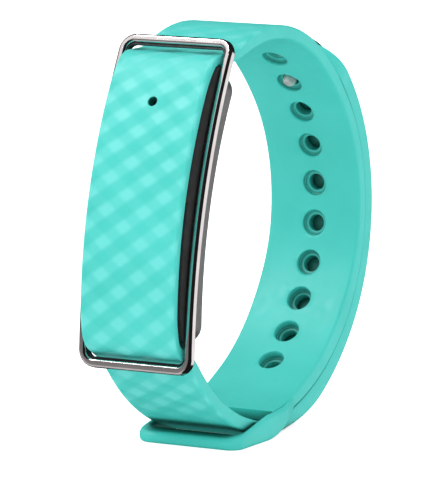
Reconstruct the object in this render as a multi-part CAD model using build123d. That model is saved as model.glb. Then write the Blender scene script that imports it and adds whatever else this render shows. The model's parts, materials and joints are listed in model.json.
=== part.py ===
from build123d import *
from math import copysign, cos, hypot, pi, radians, sin
import os

# Fitness tracker band, closed into its loop and standing on the keeper bar.
# Lengths are millimetres and angles are degrees.
# +X runs across the strap, -Y is the front of the tracker, +Z is up.
#
# The strap is one ribbon seen edge-on in the YZ plane. It is described by walks: lists of
# (radius, sweep) arcs and (0, length) straights along the strap's outer surface. A sweep is
# positive where the walk turns left. Every walk starts at the middle of the front panel.

# --- module pose ---
MODULE_TILT = 15.5
MODULE_CENTRE = (-6.1, -22.2)
PANEL_CROWN = 6.05          # front panel above the module's centre

# --- strap ---
STRAP_WIDTH = 14.6
TAIL_WIDTH = 14.0
STRAP_THICK = 1.5
TAIL_THICK = 2.1
LAYER_GAP = 0.12            # between the hole strap and the tail that lies over it
BACK_SWELL = 0.5            # the hole strap grows outwards behind the frame by this much
BACK_INNER = -2.1           # and inwards to this line above the keeper
TAIL_OUTER = 3.3            # outside of the tail where it lies on the back
STRAP_EDGE = 0.35

PANEL_BEND = [(66, 13.5), (14, 17)]
TOP_ROLL = [(3.2, 44), (0, 2.6)]
TOP_RISE = [(15, 15), (0, 2.6)]
BACK_ARCS = [(25.1, 56), (42.5, 11), (25.5, 77), (31, 46.5)]
BOTTOM_ROLL = [(3.6, 43.5), (0, 1.1)]
BOTTOM_DIVE = [(0, 1.4), (6, -17.5), (0, 1.5)]
SLOT_SLOPE = -17            # heading of the tail where it passes over the keeper bar
SLOT_BEND = 12              # bend that lays the tail on the outside
MERGE_HEADING = 7           # heading of the tail where it first lies on the hole strap
TAIL_FIXED = 39             # part of the back arc up to the line where the tail bends away
THICK_END = 0.55            # share of the last arc where the strap starts to thin again
TIP_LENGTH = 4.6            # tail beyond the stud
TIP_CORNER = 6.8

# --- holes and stud ---
HOLE_COUNT = 10
HOLE_PITCH = 6.16
FIRST_HOLE = 53.36          # along the outer surface from the panel's middle
STUD_HOLE = 1               # the second hole holds the stud
HOLE_RADIUS = 1.2
COUNTERBORE_RADIUS = 1.85
COUNTERBORE_DEPTH = 0.7     # at least, from the inner side
LED_HOLE_RADIUS = 0.65
LED_STATION = 13.4
STUD_RADIUS = 0.9
STUD_BASE_RADIUS = 1.0
SHANK_RADIUS = 1.8
PIN_TIP = -1.8              # the pin stands a little proud of the inner side
STUD_SHIFT = 0.2            # off the hole's axis, so that the tip swings out freely
CAP_RADIUS = 4.2
CAP_HEIGHT = 1.3
CAP_SEAT = 0.3

# --- keeper ring ---
KEEPER_WIDTH = 16.4
KEEPER_SLOT_WIDTH = 14.3
BAR_FRONT = 1.9
BAR_DEPTH = 2.8
BAR_TOP = -55.4
KEEPER_BASE = -57.4
KEEPER_TAIL_END = 20.0
KEEPER_CORNER = 2.2

# --- metal frame ---
FRAME_WIDTH = 17.6
FRAME_LENGTH = 46.2
FRAME_BAR = 1.2
FRAME_RAIL = 1.1
FRAME_DEPTH = 1.5
FRAME_CROWN = 2.95
FRAME_BEND = 91
FRAME_CORNER = 2.3
FRAME_EDGE = 0.4
LINER_THICK = 0.15
LINER_TOP = 2.5
LINER_BACK = 1.5

# --- tracker core ---
CORE_BEND = 66
UPPER_WIDTH = 15.0
UPPER_LENGTH = 42.8
STRAP_ROOM = 0.06           # left between the core and the strap's rolls
UPPER_TOP = 4.2
UPPER_EDGE = 1.15
LIP_WIDTH = 14.2
LIP_BACK = -1.0
SEAM_TOP = 1.7
SEAL_THICK = 0.25
BACK_WIDTH = 16.0
BACK_LENGTH = 37.2
BACK_FLOOR = -2.3
BACK_EDGE = 1.9
WALL = 0.9
CAVITY_LENGTH = 34.6
LAND_SIZE = (8.4, 3.6)
LAND_DEPTH = -2.7
LAND_STATION = -4.7
CONTACT_SPACING = 4.4
CONTACT_RADIUS = 0.8
FLANGE_RADIUS = 1.15
SCREW_SPACING = (11.2, 31.6)
SCREW_RADIUS = 0.5
SCREW_HEAD_RADIUS = 0.85
SCREW_TOP = 1.15
BOSS_RADIUS = 1.25

# --- inside the core: sizes are width, length, thickness; stations are along the module ---
BOARD = (11.4, 29.0, 0.6)
BOARD_TOP = 1.45
CHASSIS = (13.0, 28.8, 0.6)
CHASSIS_WINDOW = (10.9, 26.2)
BOARD_SCREW_SPOTS = [(4.6, 13.7), (-4.6, -13.7)]
BATTERY = (10.4, 15.5, 1.75)
BATTERY_STATION = 5.0
BATTERY_TOP = 0.45
MOTOR_RADIUS = 3.6
MOTOR_FRONT = 0.15
MOTOR_BACK = -1.6
MOTOR_STATION = -11.0
CAN_WALL = 0.25
SHAFT_RADIUS = 0.45
SHAFT_CLEARANCE = 0.05
PIPE_RADIUS = 0.6


def walk(start, heading, runs):
    """Lay runs end to end. Each stretch is (point, heading, radius, sweep or length)."""
    stretches, point, angle = [], start, radians(heading)
    for radius, amount in runs:
        size = radians(amount) if radius else amount
        stretches.append((point, angle, radius, size))
        point = station(stretches[-1], 1, 0)
        angle += size if radius else 0
    return stretches


def station(stretch, share, offset):
    """The point a share of the way along a stretch, offset to the left of it."""
    (y, z), heading, radius, size = stretch
    turned = heading + share * size if radius else heading
    if radius:
        signed = copysign(radius, size)
        y += signed * (sin(turned) - sin(heading))
        z -= signed * (cos(turned) - cos(heading))
    else:
        y += share * size * cos(heading)
        z += share * size * sin(heading)
    return (y - offset * sin(turned), z + offset * cos(turned))


def end_of(stretches):
    """Point and heading, in degrees, at the end of a walk."""
    _, heading, radius, size = stretches[-1]
    turned = heading + size if radius else heading
    return station(stretches[-1], 1, 0), turned * 180 / pi


def length_of(stretch):
    _, _, radius, size = stretch
    return radius * abs(size) if radius else size


def at_distance(stretches, distance):
    """The stretch, share and heading found a distance along a walk."""
    for stretch in stretches:
        length = length_of(stretch)
        if distance <= length:
            share = distance / length
            turn = share * stretch[3] if stretch[2] else 0
            return stretch, share, stretch[1] + turn
        distance -= length
    raise ValueError("the walk is too short")


def in_plane(point):
    return (0, point[0], point[1])


def edge(stretch, offsets):
    """A line along a stretch, its offset going evenly from the first to the last."""
    first, last = offsets
    ends = [in_plane(station(stretch, share, first + share * (last - first))) for share in (0, 0.5, 1)]
    return ThreePointArc(*ends) if stretch[2] else Line(ends[0], ends[2])


def part_of(stretch, first, last):
    """The part of a stretch between two shares of it."""
    _, heading, radius, size = stretch
    turned = heading + first * size if radius else heading
    return (station(stretch, first, 0), turned, radius, (last - first) * size)


def across(face, width):
    """Extrude a face in the YZ plane to both sides."""
    return extrude(face, amount=width / 2, dir=(1, 0, 0), both=True)


def cap(stretch, share, offsets):
    return Line(*[in_plane(station(stretch, share, offset)) for offset in offsets])


def band_of(parts, caps, width):
    """The solid between the two lines of parts that lie end to end, closed by its two caps.

    Each part is a stretch with the offsets, at its start and end, of each line.
    """
    lines = [edge(stretch, offsets) for stretch, *pairs in parts for offsets in pairs]
    return across(make_face(lines + caps), width)


def even(stretches, first, second):
    return [(stretch, (first, first), (second, second)) for stretch in stretches]


def ribbon(stretches, first, second, width):
    """The solid between two lines parallel to a walk, at offsets to the left of it."""
    ends = [cap(stretches[0], 0, (first, second)), cap(stretches[-1], 1, (first, second))]
    return band_of(even(stretches, first, second), ends, width)


def round_sides(solid, radius):
    """Fillet the long edges that border the strap's two side faces."""
    low = solid.faces().sort_by(Axis.X)[0]
    high = solid.faces().sort_by(Axis.X)[-1]
    return fillet(low.edges() + high.edges(), radius)


# --- the strap's two walks ---

def panel_start():
    lean = radians(MODULE_TILT)
    return (MODULE_CENTRE[0] - PANEL_CROWN * cos(lean), MODULE_CENTRE[1] + PANEL_CROWN * sin(lean))


def right_turns(runs):
    return [(radius, -amount if radius else amount) for radius, amount in runs]


def hole_strap_walk():
    """From the panel's middle up, under the top bar and down the back to the keeper slot."""
    runs = right_turns(PANEL_BEND + TOP_ROLL) + TOP_RISE + right_turns(BACK_ARCS)
    return walk(panel_start(), 90 - MODULE_TILT, runs)


def merge_share():
    """Share of the hole strap's last arc at which the tail comes to lie on it."""
    _, end_heading = end_of(hole_strap_walk())
    return 1 - (MERGE_HEADING - end_heading - 180) / BACK_ARCS[-1][1]


def hole_strap_parts():
    """The hole strap's stretches with their inner and outer offsets."""
    *before, rise, run, upper, middle, lower, last = hole_strap_walk()
    swell, thin = BACK_SWELL, -STRAP_THICK
    half = BACK_SWELL * 0.6
    merge = merge_share()
    parts = even(before, thin, 0)
    parts += [(rise, (thin, thin), (0, half)), (run, (thin, thin), (half, swell))]
    parts += even([upper, middle], thin, swell)
    parts += [(part_of(lower, 0, 0.6), (thin, thin), (swell, swell)),
              (part_of(lower, 0.6, 1), (thin, BACK_INNER), (swell, swell)),
              (part_of(last, 0, THICK_END), (BACK_INNER, BACK_INNER), (swell, swell * 0.3)),
              (part_of(last, THICK_END, merge), (BACK_INNER, thin), (swell * 0.3, 0)),
              (part_of(last, merge, 1), (thin, thin), (0, 0))]
    return parts


def closing_runs(start, heading, end, end_heading):
    """The bend and straight that bring the tail from the frame to the outside of the strap."""
    first, slope, last = (radians(angle) for angle in (heading, SLOT_SLOPE, end_heading))
    gap_y = end[0] - start[0] - SLOT_BEND * (sin(last) - sin(slope))
    gap_z = end[1] - start[1] + SLOT_BEND * (cos(last) - cos(slope))
    bend_y, bend_z = sin(slope) - sin(first), cos(first) - cos(slope)
    run_y, run_z = cos(slope), sin(slope)
    scale = bend_y * run_z - bend_z * run_y
    bend = (gap_y * run_z - gap_z * run_y) / scale
    straight = (bend_y * gap_z - bend_z * gap_y) / scale
    return [(bend, SLOT_SLOPE - heading), (0, straight), (SLOT_BEND, end_heading - SLOT_SLOPE)]


def back_centre():
    """Centre of the last bend of the hole strap, round which the tail lies as well."""
    point, heading = end_of(hole_strap_walk())
    towards = radians(heading - 90)
    radius = BACK_ARCS[-1][0]
    return (point[0] + radius * cos(towards), point[1] + radius * sin(towards))


def lower_walk():
    """From the panel's middle down and through the keeper slot, to where the tail lies flat."""
    outer = BACK_ARCS[-1][0] + LAYER_GAP + TAIL_THICK
    centre, merge = back_centre(), radians(MERGE_HEADING)
    merge_point = (centre[0] + outer * sin(merge), centre[1] - outer * cos(merge))
    runs = PANEL_BEND + BOTTOM_ROLL + BOTTOM_DIVE
    point, heading = end_of(walk(panel_start(), 270 - MODULE_TILT, runs))
    runs = runs + closing_runs(point, heading - 360, merge_point, MERGE_HEADING)
    return walk(panel_start(), 270 - MODULE_TILT, runs)


def lying_tail(fixed):
    """The part of the tail that lies on the hole strap: before or after the line where it bends.

    Stretches run towards the keeper, each with its inner and outer offsets.
    """
    up = hole_strap_walk()
    upper, middle, lower, last = up[6:]
    swell, merge = BACK_SWELL, merge_share()
    bend = 1 - TAIL_FIXED / BACK_ARCS[2][1]
    back = (LAYER_GAP + swell, LAYER_GAP + swell)
    outside = (TAIL_OUTER, TAIL_OUTER)
    if fixed:
        thinner = LAYER_GAP + swell * 0.3
        return [(part_of(lower, bend, 1), back, outside),
                (part_of(last, 0, THICK_END), (back[1], thinner), (TAIL_OUTER, TAIL_OUTER - 0.1)),
                (part_of(last, THICK_END, merge), (thinner, LAYER_GAP),
                 (TAIL_OUTER - 0.1, LAYER_GAP + TAIL_THICK))]
    tip = FIRST_HOLE + STUD_HOLE * HOLE_PITCH - TIP_LENGTH
    _, share, _ = at_distance(up, tip)
    return [(part_of(upper, share, 1), back, outside), (middle, back, outside),
            (part_of(lower, 0, bend), back, outside)]


# --- strap pieces ---

def hole_place(index, shift=0):
    """Frame at a hole: its Z axis points out of the strap and its origin is on the outer face."""
    distance = FIRST_HOLE + index * HOLE_PITCH - shift
    stretch, share, turned = at_distance(hole_strap_walk(), distance)
    point = station(stretch, share, 0)
    outward = (0, -sin(turned), cos(turned))
    return Location(Plane(origin=in_plane(point), x_dir=(1, 0, 0), z_dir=outward))


def drill(radius, top, bottom):
    """A cylinder along Z between two heights."""
    return Pos(0, 0, (top + bottom) / 2) * Cylinder(radius, top - bottom)


def strap_hole():
    bottom = BACK_INNER - 1
    counterbore = drill(COUNTERBORE_RADIUS, COUNTERBORE_DEPTH - STRAP_THICK, bottom)
    return drill(HOLE_RADIUS, 1, bottom) + counterbore


def keeper_ring():
    """The moulded loop at the end of the hole strap: two side rails and an end bar."""
    centre = back_centre()
    inner = BACK_ARCS[-1][0] - STRAP_THICK

    def on_circle(radius, y):
        return (0, y, centre[1] - (radius ** 2 - (y - centre[0]) ** 2) ** 0.5)

    top_back = on_circle(inner, KEEPER_TAIL_END)
    top_mid = on_circle(inner, (KEEPER_TAIL_END + centre[0]) / 2)
    top_front = on_circle(inner, centre[0])
    corners = [top_front, (0, BAR_FRONT, BAR_TOP), (0, BAR_FRONT, KEEPER_BASE),
               (0, centre[0] + 2, KEEPER_BASE), on_circle(BACK_ARCS[-1][0], KEEPER_TAIL_END)]
    sides = [ThreePointArc(top_back, top_mid, top_front)]
    sides += [Line(first, second) for first, second in zip(corners, corners[1:])]
    sides += [Line(corners[-1], top_back)]
    ring = across(make_face(sides), KEEPER_WIDTH)
    ring = fillet(ring.edges().filter_by(Axis.Z).group_by(Axis.Y)[0], KEEPER_CORNER)
    slot_start = BAR_FRONT + BAR_DEPTH
    slot_length = KEEPER_TAIL_END + 1 - slot_start
    slot = Pos(0, slot_start + slot_length / 2, KEEPER_BASE) * Box(KEEPER_SLOT_WIDTH, slot_length, 20)
    return ring - fillet(slot.edges().filter_by(Axis.Z).group_by(Axis.Y)[0], 0.9)


def hole_strap():
    parts = hole_strap_parts()
    ends = [cap(parts[0][0], 0, (-STRAP_THICK, 0)), cap(parts[-1][0], 1, (-STRAP_THICK, 0))]
    return round_sides(band_of(parts, ends, STRAP_WIDTH), STRAP_EDGE)


def front_and_tail():
    """The lower half of the panel, and the tail up to the line where it bends away."""
    lower = lower_walk()
    thin = len(PANEL_BEND + BOTTOM_ROLL)
    panel = ribbon(lower[:thin], 0, STRAP_THICK, STRAP_WIDTH)
    lying = lying_tail(True)
    bend, inner, outer = lying[0]
    ends = [cap(lower[thin], 0, (0, TAIL_THICK)), cap(bend, 0, (inner[0], outer[0]))]
    tail = band_of(even(lower[thin:], 0, TAIL_THICK) + lying, ends, TAIL_WIDTH)
    return round_sides(panel, STRAP_EDGE) + round_sides(tail, STRAP_EDGE)


def strap():
    solid = hole_strap() + keeper_ring() + front_and_tail()
    for index in range(HOLE_COUNT):
        solid -= hole_place(index) * strap_hole()
    return solid - module_place() * post(LED_HOLE_RADIUS, 8, 1, 0, LED_STATION)


def strap_tail():
    parts = lying_tail(False)
    sides = (parts[0][1][0], parts[0][2][0])
    tail = band_of(parts, [cap(parts[0][0], 0, sides), cap(parts[-1][0], 1, sides)], TAIL_WIDTH)
    caps = [face for face in tail.faces() if face.geom_type == GeomType.PLANE and not face.normal_at().X]
    tip = max(caps, key=lambda face: face.center().Z)
    corners = [corner for corner in tip.edges() if corner.length < TAIL_WIDTH / 2]
    tail = round_sides(fillet(corners, TIP_CORNER), STRAP_EDGE)
    return tail - stud_cap() - stud_pin()


def stud_place():
    return hole_place(STUD_HOLE, STUD_SHIFT)


def stud_cap():
    """Domed button on the outside of the tail, with a shank that fills the tail's hole."""
    seat = TAIL_OUTER - CAP_SEAT
    disc = drill(CAP_RADIUS, TAIL_OUTER + CAP_HEIGHT, seat)
    disc = fillet(disc.edges().sort_by(Axis.Z)[-1], CAP_HEIGHT * 0.7)
    shank = drill(SHANK_RADIUS, seat, BACK_SWELL + LAYER_GAP)
    return stud_place() * (disc + shank) - stud_pin()


def stud_pin():
    """Tapered steel pin that reaches from the cap through the strap hole."""
    top = BACK_SWELL + LAYER_GAP
    taper = Cone(STUD_BASE_RADIUS, STUD_RADIUS, top - PIN_TIP)
    taper = Pos(0, 0, (top + PIN_TIP) / 2) * Rot(X=180) * taper
    taper = fillet(taper.edges().sort_by(Axis.Z)[0], STUD_RADIUS * 0.6)
    return stud_place() * (taper + drill(STUD_BASE_RADIUS, TAIL_OUTER - CAP_SEAT, top))


# --- module pieces, built upright with the front towards -Y and then leaned back ---

def module_place():
    return Pos(0, *MODULE_CENTRE) * Rot(X=-MODULE_TILT)


def block(width, length, front, back, x=0, t=0):
    """A box between two depths, front positive, centred on (x, t) across and along."""
    return Pos(x, -(front + back) / 2, t) * Box(width, front - back, length)


def post(radius, front, back, x=0, t=0):
    """A round bar along the depth direction."""
    return Pos(x, -(front + back) / 2, t) * Rot(X=90) * Cylinder(radius, front - back)


def slab(width, length, front, back, front_bend, back_bend, corner):
    """A plate bowed like the module, with rounded corners seen from the front."""
    def bow(depth, bend):
        drop = bend - (bend ** 2 - (length / 2) ** 2) ** 0.5
        return [(0, drop - depth, -length / 2), (0, -depth, 0), (0, drop - depth, length / 2)]

    face, rear = bow(front, front_bend), bow(back, back_bend)
    sides = [ThreePointArc(*face), ThreePointArc(*rear), Line(face[0], rear[0]), Line(face[2], rear[2])]
    outline = block(width, length, 12, -12)
    return across(make_face(sides), width) & fillet(outline.edges().filter_by(Axis.Y), corner)


def bowed_faces(plate):
    """The front and the rear face of a slab."""
    return plate.faces().sort_by(SortBy.AREA)[-2:].sort_by(Axis.Y)


def metal_frame():
    back = FRAME_CROWN - FRAME_DEPTH
    ring = slab(FRAME_WIDTH, FRAME_LENGTH, FRAME_CROWN, back, FRAME_BEND, FRAME_BEND, FRAME_CORNER)
    window = slab(FRAME_WIDTH - 2 * FRAME_RAIL, FRAME_LENGTH - 2 * FRAME_BAR, FRAME_CROWN + 1,
                  back - 1, FRAME_BEND, FRAME_BEND, FRAME_CORNER - FRAME_BAR)
    ring -= window
    return fillet(ring.edges(), FRAME_EDGE)


def frame_liner():
    """Black strip round the inside of the metal frame."""
    length, width = FRAME_LENGTH - 2 * FRAME_BAR, FRAME_WIDTH - 2 * FRAME_RAIL
    ring = slab(width, length, LINER_TOP, LINER_BACK, FRAME_BEND, FRAME_BEND, FRAME_CORNER - FRAME_BAR)
    return ring - slab(width - 2 * LINER_THICK, length - 4 * LINER_THICK, LINER_TOP + 1,
                       LINER_BACK - 1, FRAME_BEND, FRAME_BEND, FRAME_CORNER - FRAME_BAR - LINER_THICK)


def strap_room():
    """The space of the strap behind both bars of the frame, in the module's upright pose."""
    above = ribbon(hole_strap_walk()[:6], -STRAP_THICK - STRAP_ROOM, 3, FRAME_WIDTH)
    below = ribbon(lower_walk()[:7], -3, TAIL_THICK + STRAP_ROOM, FRAME_WIDTH)
    return module_place().inverse() * (above + below)


def cavity():
    return slab(UPPER_WIDTH - 2 * WALL, CAVITY_LENGTH, UPPER_TOP - WALL, BACK_FLOOR + WALL,
                CORE_BEND, CORE_BEND, 1.2)


def screw_spots():
    """Where the cover screws stand, with the depth of the curved floor there."""
    spots = []
    for x in (-0.5, 0.5):
        for t in (-0.5, 0.5):
            along = t * SCREW_SPACING[1]
            floor = BACK_FLOOR + (CORE_BEND ** 2 - along ** 2) ** 0.5 - CORE_BEND
            spots.append((x * SCREW_SPACING[0], along, floor))
    return spots


def cover_screws():
    """Four self-tapping screws, driven from the back."""
    screws = Part()
    for x, t, floor in screw_spots():
        screws += post(SCREW_HEAD_RADIUS, floor + 0.9, floor + 0.35, x, t)
        screws += post(SCREW_RADIUS, SCREW_TOP, floor + 0.9, x, t)
    return screws


def corner_bosses():
    bosses = Part()
    for x, t, _ in screw_spots():
        bosses += post(BOSS_RADIUS, UPPER_TOP, BACK_FLOOR - 4, x, t)
    return bosses & cavity()


def end_lips():
    """Ends of the upper housing, behind the seam line, that fill the room between cover and strap."""
    ends = slab(LIP_WIDTH, UPPER_LENGTH, SEAM_TOP + 0.2, LIP_BACK, FRAME_BEND, FRAME_BEND, 2.4)
    return ends - slab(BACK_WIDTH, BACK_LENGTH + 0.1, SEAM_TOP + 1, LIP_BACK - 1, FRAME_BEND, FRAME_BEND, 0.5)


def upper_housing():
    body = slab(UPPER_WIDTH, UPPER_LENGTH, UPPER_TOP, SEAM_TOP, CORE_BEND, FRAME_BEND, 2.4)
    shell = fillet(bowed_faces(body)[0].edges(), UPPER_EDGE)
    shell = shell - cavity() + (corner_bosses() & body) + end_lips()
    return shell - cover_screws() - light_pipe() - strap_room()


def housing_seal():
    """Gasket ring between the two housings."""
    ring = slab(UPPER_WIDTH - 0.4, BACK_LENGTH - 0.8, SEAM_TOP, SEAM_TOP - SEAL_THICK,
                FRAME_BEND, FRAME_BEND, 2.2)
    return ring - cavity()


def back_cover():
    body = slab(BACK_WIDTH, BACK_LENGTH, SEAM_TOP - SEAL_THICK, BACK_FLOOR, FRAME_BEND, CORE_BEND, 2.6)
    shell = fillet(bowed_faces(body)[1].edges(), BACK_EDGE)
    land = block(LAND_SIZE[0], LAND_SIZE[1], BACK_FLOOR + 0.5, LAND_DEPTH, 0, LAND_STATION)
    shell += fillet(land.edges().filter_by(Axis.Y), 1.2)
    shell = shell - cavity() + (corner_bosses() & body)
    for x, t, floor in screw_spots():
        shell -= post(SCREW_HEAD_RADIUS, floor + 0.9, floor - 3, x, t)
    return shell - cover_screws() - charge_contacts() - contact_seals()


def contact_spots():
    return [-CONTACT_SPACING / 2, CONTACT_SPACING / 2]


def charge_contacts():
    """Two flanged pins, flush with the charging land."""
    pins = Part()
    inside = BACK_FLOOR + WALL - 0.1
    for x in contact_spots():
        pins += post(CONTACT_RADIUS, inside, LAND_DEPTH, x, LAND_STATION)
        pins += post(FLANGE_RADIUS, inside + 0.3, inside, x, LAND_STATION)
    return pins


def contact_seals():
    """A rubber ring round each contact, inside the floor."""
    seals = Part()
    for x in contact_spots():
        ring = post(CONTACT_RADIUS + 0.3, BACK_FLOOR + 0.5, BACK_FLOOR + 0.1, x, LAND_STATION)
        seals += ring - post(CONTACT_RADIUS, 1, -4, x, LAND_STATION)
    return seals


def contact_springs():
    """A coil from each contact's flange to the underside of the board."""
    foot = BACK_FLOOR + WALL + 0.2
    head = BOARD_TOP - BOARD[2]
    wire, coil, turns = 0.11, 0.55, 4
    height = head - foot - 2 * wire
    springs = Part()
    for x in contact_spots():
        line = Helix(height / turns, height, coil)
        section = Plane(origin=line @ 0, z_dir=line % 0) * Circle(wire)
        spring = sweep(section, path=line)
        springs += Pos(x, -(foot + wire), LAND_STATION) * Rot(X=90) * spring
    return springs


# --- electronics ---

def board_screws():
    screws = Part()
    for x, t in BOARD_SCREW_SPOTS:
        screws += post(0.7, BOARD_TOP + 0.3, BOARD_TOP, x, t)
        screws += post(0.4, BOARD_TOP, BOARD_TOP - BOARD[2] - CHASSIS[2], x, t)
    return screws


def circuit_board():
    board = block(BOARD[0], BOARD[1], BOARD_TOP, BOARD_TOP - BOARD[2])
    return fillet(board.edges().filter_by(Axis.Y), 1) - board_screws()


def inner_chassis():
    """Plastic frame that carries the board."""
    top = BOARD_TOP - BOARD[2]
    tray = block(CHASSIS[0], CHASSIS[1], top, top - CHASSIS[2])
    window = block(CHASSIS_WINDOW[0], CHASSIS_WINDOW[1], 9, -9)
    return tray - fillet(window.edges().filter_by(Axis.Y), 1) - board_screws()


def chip(width, length, thick, x, t):
    """A component soldered to the front of the board."""
    body = block(width, length, BOARD_TOP + thick, BOARD_TOP, x, t)
    return chamfer(body.faces().sort_by(Axis.Y)[0].edges(), 0.08)


def main_chip():
    return chip(5.0, 5.0, 0.7, 0, 4.6)


def radio_shield():
    """Pressed metal can over the radio, closed by the board."""
    can = chip(7.6, 6.4, 1.3, 0, -4.4)
    return can - block(7.2, 6.0, BOARD_TOP + 1.1, BOARD_TOP, 0, -4.4)


def motion_sensor():
    return chip(2.0, 2.0, 0.7, 3.6, 9.6)


def crystal():
    return chip(1.6, 1.0, 0.4, -4.3, 2.2)


def chip_antenna():
    return chip(5.2, 1.6, 0.45, 0, -12.6)


def status_led():
    return chip(1.6, 0.8, 0.35, 0, LED_STATION)


def light_pipe():
    """Clear rod from the light to the front of the upper housing."""
    return post(PIPE_RADIUS, UPPER_TOP - 1.5, BOARD_TOP + 0.35, 0, LED_STATION)


def battery_cell():
    cell = block(BATTERY[0], BATTERY[1], BATTERY_TOP, BATTERY_TOP - BATTERY[2], 0, BATTERY_STATION)
    return fillet(cell.edges(), 0.4)


def battery_pad():
    """Foam tape between the cell and the board."""
    top = BOARD_TOP - BOARD[2]
    return block(BATTERY[0] - 1, BATTERY[1] - 1, top, BATTERY_TOP, 0, BATTERY_STATION)


def battery_leads():
    """Two tabs from the end of the cell up to the board."""
    leads = Part()
    end = BATTERY_STATION - BATTERY[1] / 2
    for x in (-0.7, 0.7):
        leads += block(0.8, 0.7, -0.3, -0.5, x, end - 0.35)
        leads += block(0.8, 0.2, BOARD_TOP - BOARD[2], -0.5, x, end - 0.6)
    return leads


# --- vibration motor ---

def motor_post(radius, front, back):
    return post(radius, front, back, 0, MOTOR_STATION)


def motor_case():
    """Cup of the coin motor, open to the front."""
    inside = motor_post(MOTOR_RADIUS - CAN_WALL, MOTOR_FRONT, MOTOR_BACK + CAN_WALL)
    return motor_post(MOTOR_RADIUS, MOTOR_FRONT - CAN_WALL, MOTOR_BACK) - inside


def motor_lid():
    return motor_post(MOTOR_RADIUS, MOTOR_FRONT, MOTOR_FRONT - CAN_WALL)


def motor_shaft():
    return motor_post(SHAFT_RADIUS, MOTOR_FRONT - CAN_WALL, MOTOR_BACK + CAN_WALL)


def motor_rotor():
    """Half-round weight on a hub, turning on the shaft."""
    front, back = MOTOR_FRONT - CAN_WALL - 0.12, MOTOR_BACK + CAN_WALL + 0.12
    half = block(2 * MOTOR_RADIUS, MOTOR_RADIUS, 9, -9, 0, MOTOR_STATION - MOTOR_RADIUS / 2)
    weight = motor_post(MOTOR_RADIUS - CAN_WALL - 0.25, front, back) & half
    hub = motor_post(SHAFT_RADIUS + 0.5, front, back)
    return weight + hub - motor_post(SHAFT_RADIUS + SHAFT_CLEARANCE, front + 1, back - 1)


STRAP_PIECES = [strap, strap_tail, stud_cap, stud_pin]
MODULE_PIECES = [metal_frame, frame_liner, upper_housing, housing_seal, back_cover, cover_screws,
                 charge_contacts, contact_seals, contact_springs, inner_chassis, circuit_board,
                 board_screws, main_chip, radio_shield, motion_sensor, crystal, chip_antenna,
                 status_led, light_pipe, battery_cell, battery_pad, battery_leads,
                 motor_case, motor_lid, motor_shaft, motor_rotor]


def main():
    os.makedirs("parts", exist_ok=True)
    pieces = {make.__name__: make() for make in STRAP_PIECES}
    pieces.update({make.__name__: module_place() * make() for make in MODULE_PIECES})
    box = Compound(children=[Compound(piece.solids()) for piece in pieces.values()]).bounding_box()
    to_base = Pos(-box.center().X, -box.center().Y, -box.min.Z)
    for name, piece in pieces.items():
        export_step(Compound((to_base * piece).solids()), f"parts/{name}.step")
    print("moved", tuple(round(value, 4) for value in to_base.position))


main()
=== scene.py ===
import json
from math import copysign, cos, degrees, pi, radians, sin, sqrt

import bmesh
import bpy
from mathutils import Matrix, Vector


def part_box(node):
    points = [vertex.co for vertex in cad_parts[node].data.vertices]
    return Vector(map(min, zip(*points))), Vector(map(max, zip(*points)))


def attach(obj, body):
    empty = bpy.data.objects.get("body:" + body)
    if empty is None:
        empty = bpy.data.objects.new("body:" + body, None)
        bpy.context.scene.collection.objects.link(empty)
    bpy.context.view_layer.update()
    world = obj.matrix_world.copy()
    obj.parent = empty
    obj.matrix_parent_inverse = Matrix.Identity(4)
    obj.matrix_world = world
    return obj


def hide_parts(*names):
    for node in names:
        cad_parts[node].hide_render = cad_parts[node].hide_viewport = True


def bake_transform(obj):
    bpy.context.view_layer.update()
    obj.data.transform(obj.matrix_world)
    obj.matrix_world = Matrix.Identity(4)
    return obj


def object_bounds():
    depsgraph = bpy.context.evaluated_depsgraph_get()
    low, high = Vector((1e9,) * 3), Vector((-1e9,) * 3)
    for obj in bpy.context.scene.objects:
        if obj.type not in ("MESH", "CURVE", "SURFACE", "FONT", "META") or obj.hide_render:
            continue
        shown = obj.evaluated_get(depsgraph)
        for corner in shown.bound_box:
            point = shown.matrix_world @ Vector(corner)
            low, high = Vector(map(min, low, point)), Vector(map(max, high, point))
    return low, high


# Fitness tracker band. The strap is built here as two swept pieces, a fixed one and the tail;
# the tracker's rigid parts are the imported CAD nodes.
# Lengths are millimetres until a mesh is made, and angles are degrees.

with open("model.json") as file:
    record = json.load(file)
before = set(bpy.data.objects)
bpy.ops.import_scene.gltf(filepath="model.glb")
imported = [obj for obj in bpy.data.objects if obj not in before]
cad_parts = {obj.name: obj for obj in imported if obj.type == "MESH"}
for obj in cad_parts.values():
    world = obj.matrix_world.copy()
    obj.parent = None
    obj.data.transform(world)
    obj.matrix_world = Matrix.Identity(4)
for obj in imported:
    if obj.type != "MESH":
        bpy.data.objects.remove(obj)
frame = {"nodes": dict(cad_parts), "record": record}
cad_low, cad_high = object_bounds()
MM = 0.001                  # one millimetre in metres

# --- the strap's outline, seen edge-on in the YZ plane: (radius, sweep) arcs, (0, length) runs ---
MODULE_TILT = 15.5
MODULE_CENTRE = (-6.1, -22.2)
PANEL_CROWN = 6.05
STRAP_WIDTH = 14.6
TAIL_WIDTH = 14.0
STRAP_THICK = 1.5
TAIL_THICK = 2.1
LAYER_GAP = 0.12
BACK_SWELL = 0.5
BACK_INNER = -2.1
TAIL_OUTER = 3.3
THICK_END = 0.55
PANEL_BEND = [(66, 13.5), (14, 17)]
TOP_ROLL = [(3.2, 44), (0, 2.6)]
TOP_RISE = [(15, 15), (0, 2.6)]
BACK_ARCS = [(25.1, 56), (42.5, 11), (25.5, 77), (31, 46.5)]
BOTTOM_ROLL = [(3.6, 43.5), (0, 1.1)]
BOTTOM_DIVE = [(0, 1.4), (6, -17.5), (0, 1.5)]
SLOT_SLOPE = -17
SLOT_BEND = 12
MERGE_HEADING = 7
TIP_LENGTH = 4.6
TIP_CORNER = 6.8
HOLE_COUNT = 10
HOLE_PITCH = 6.16
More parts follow.
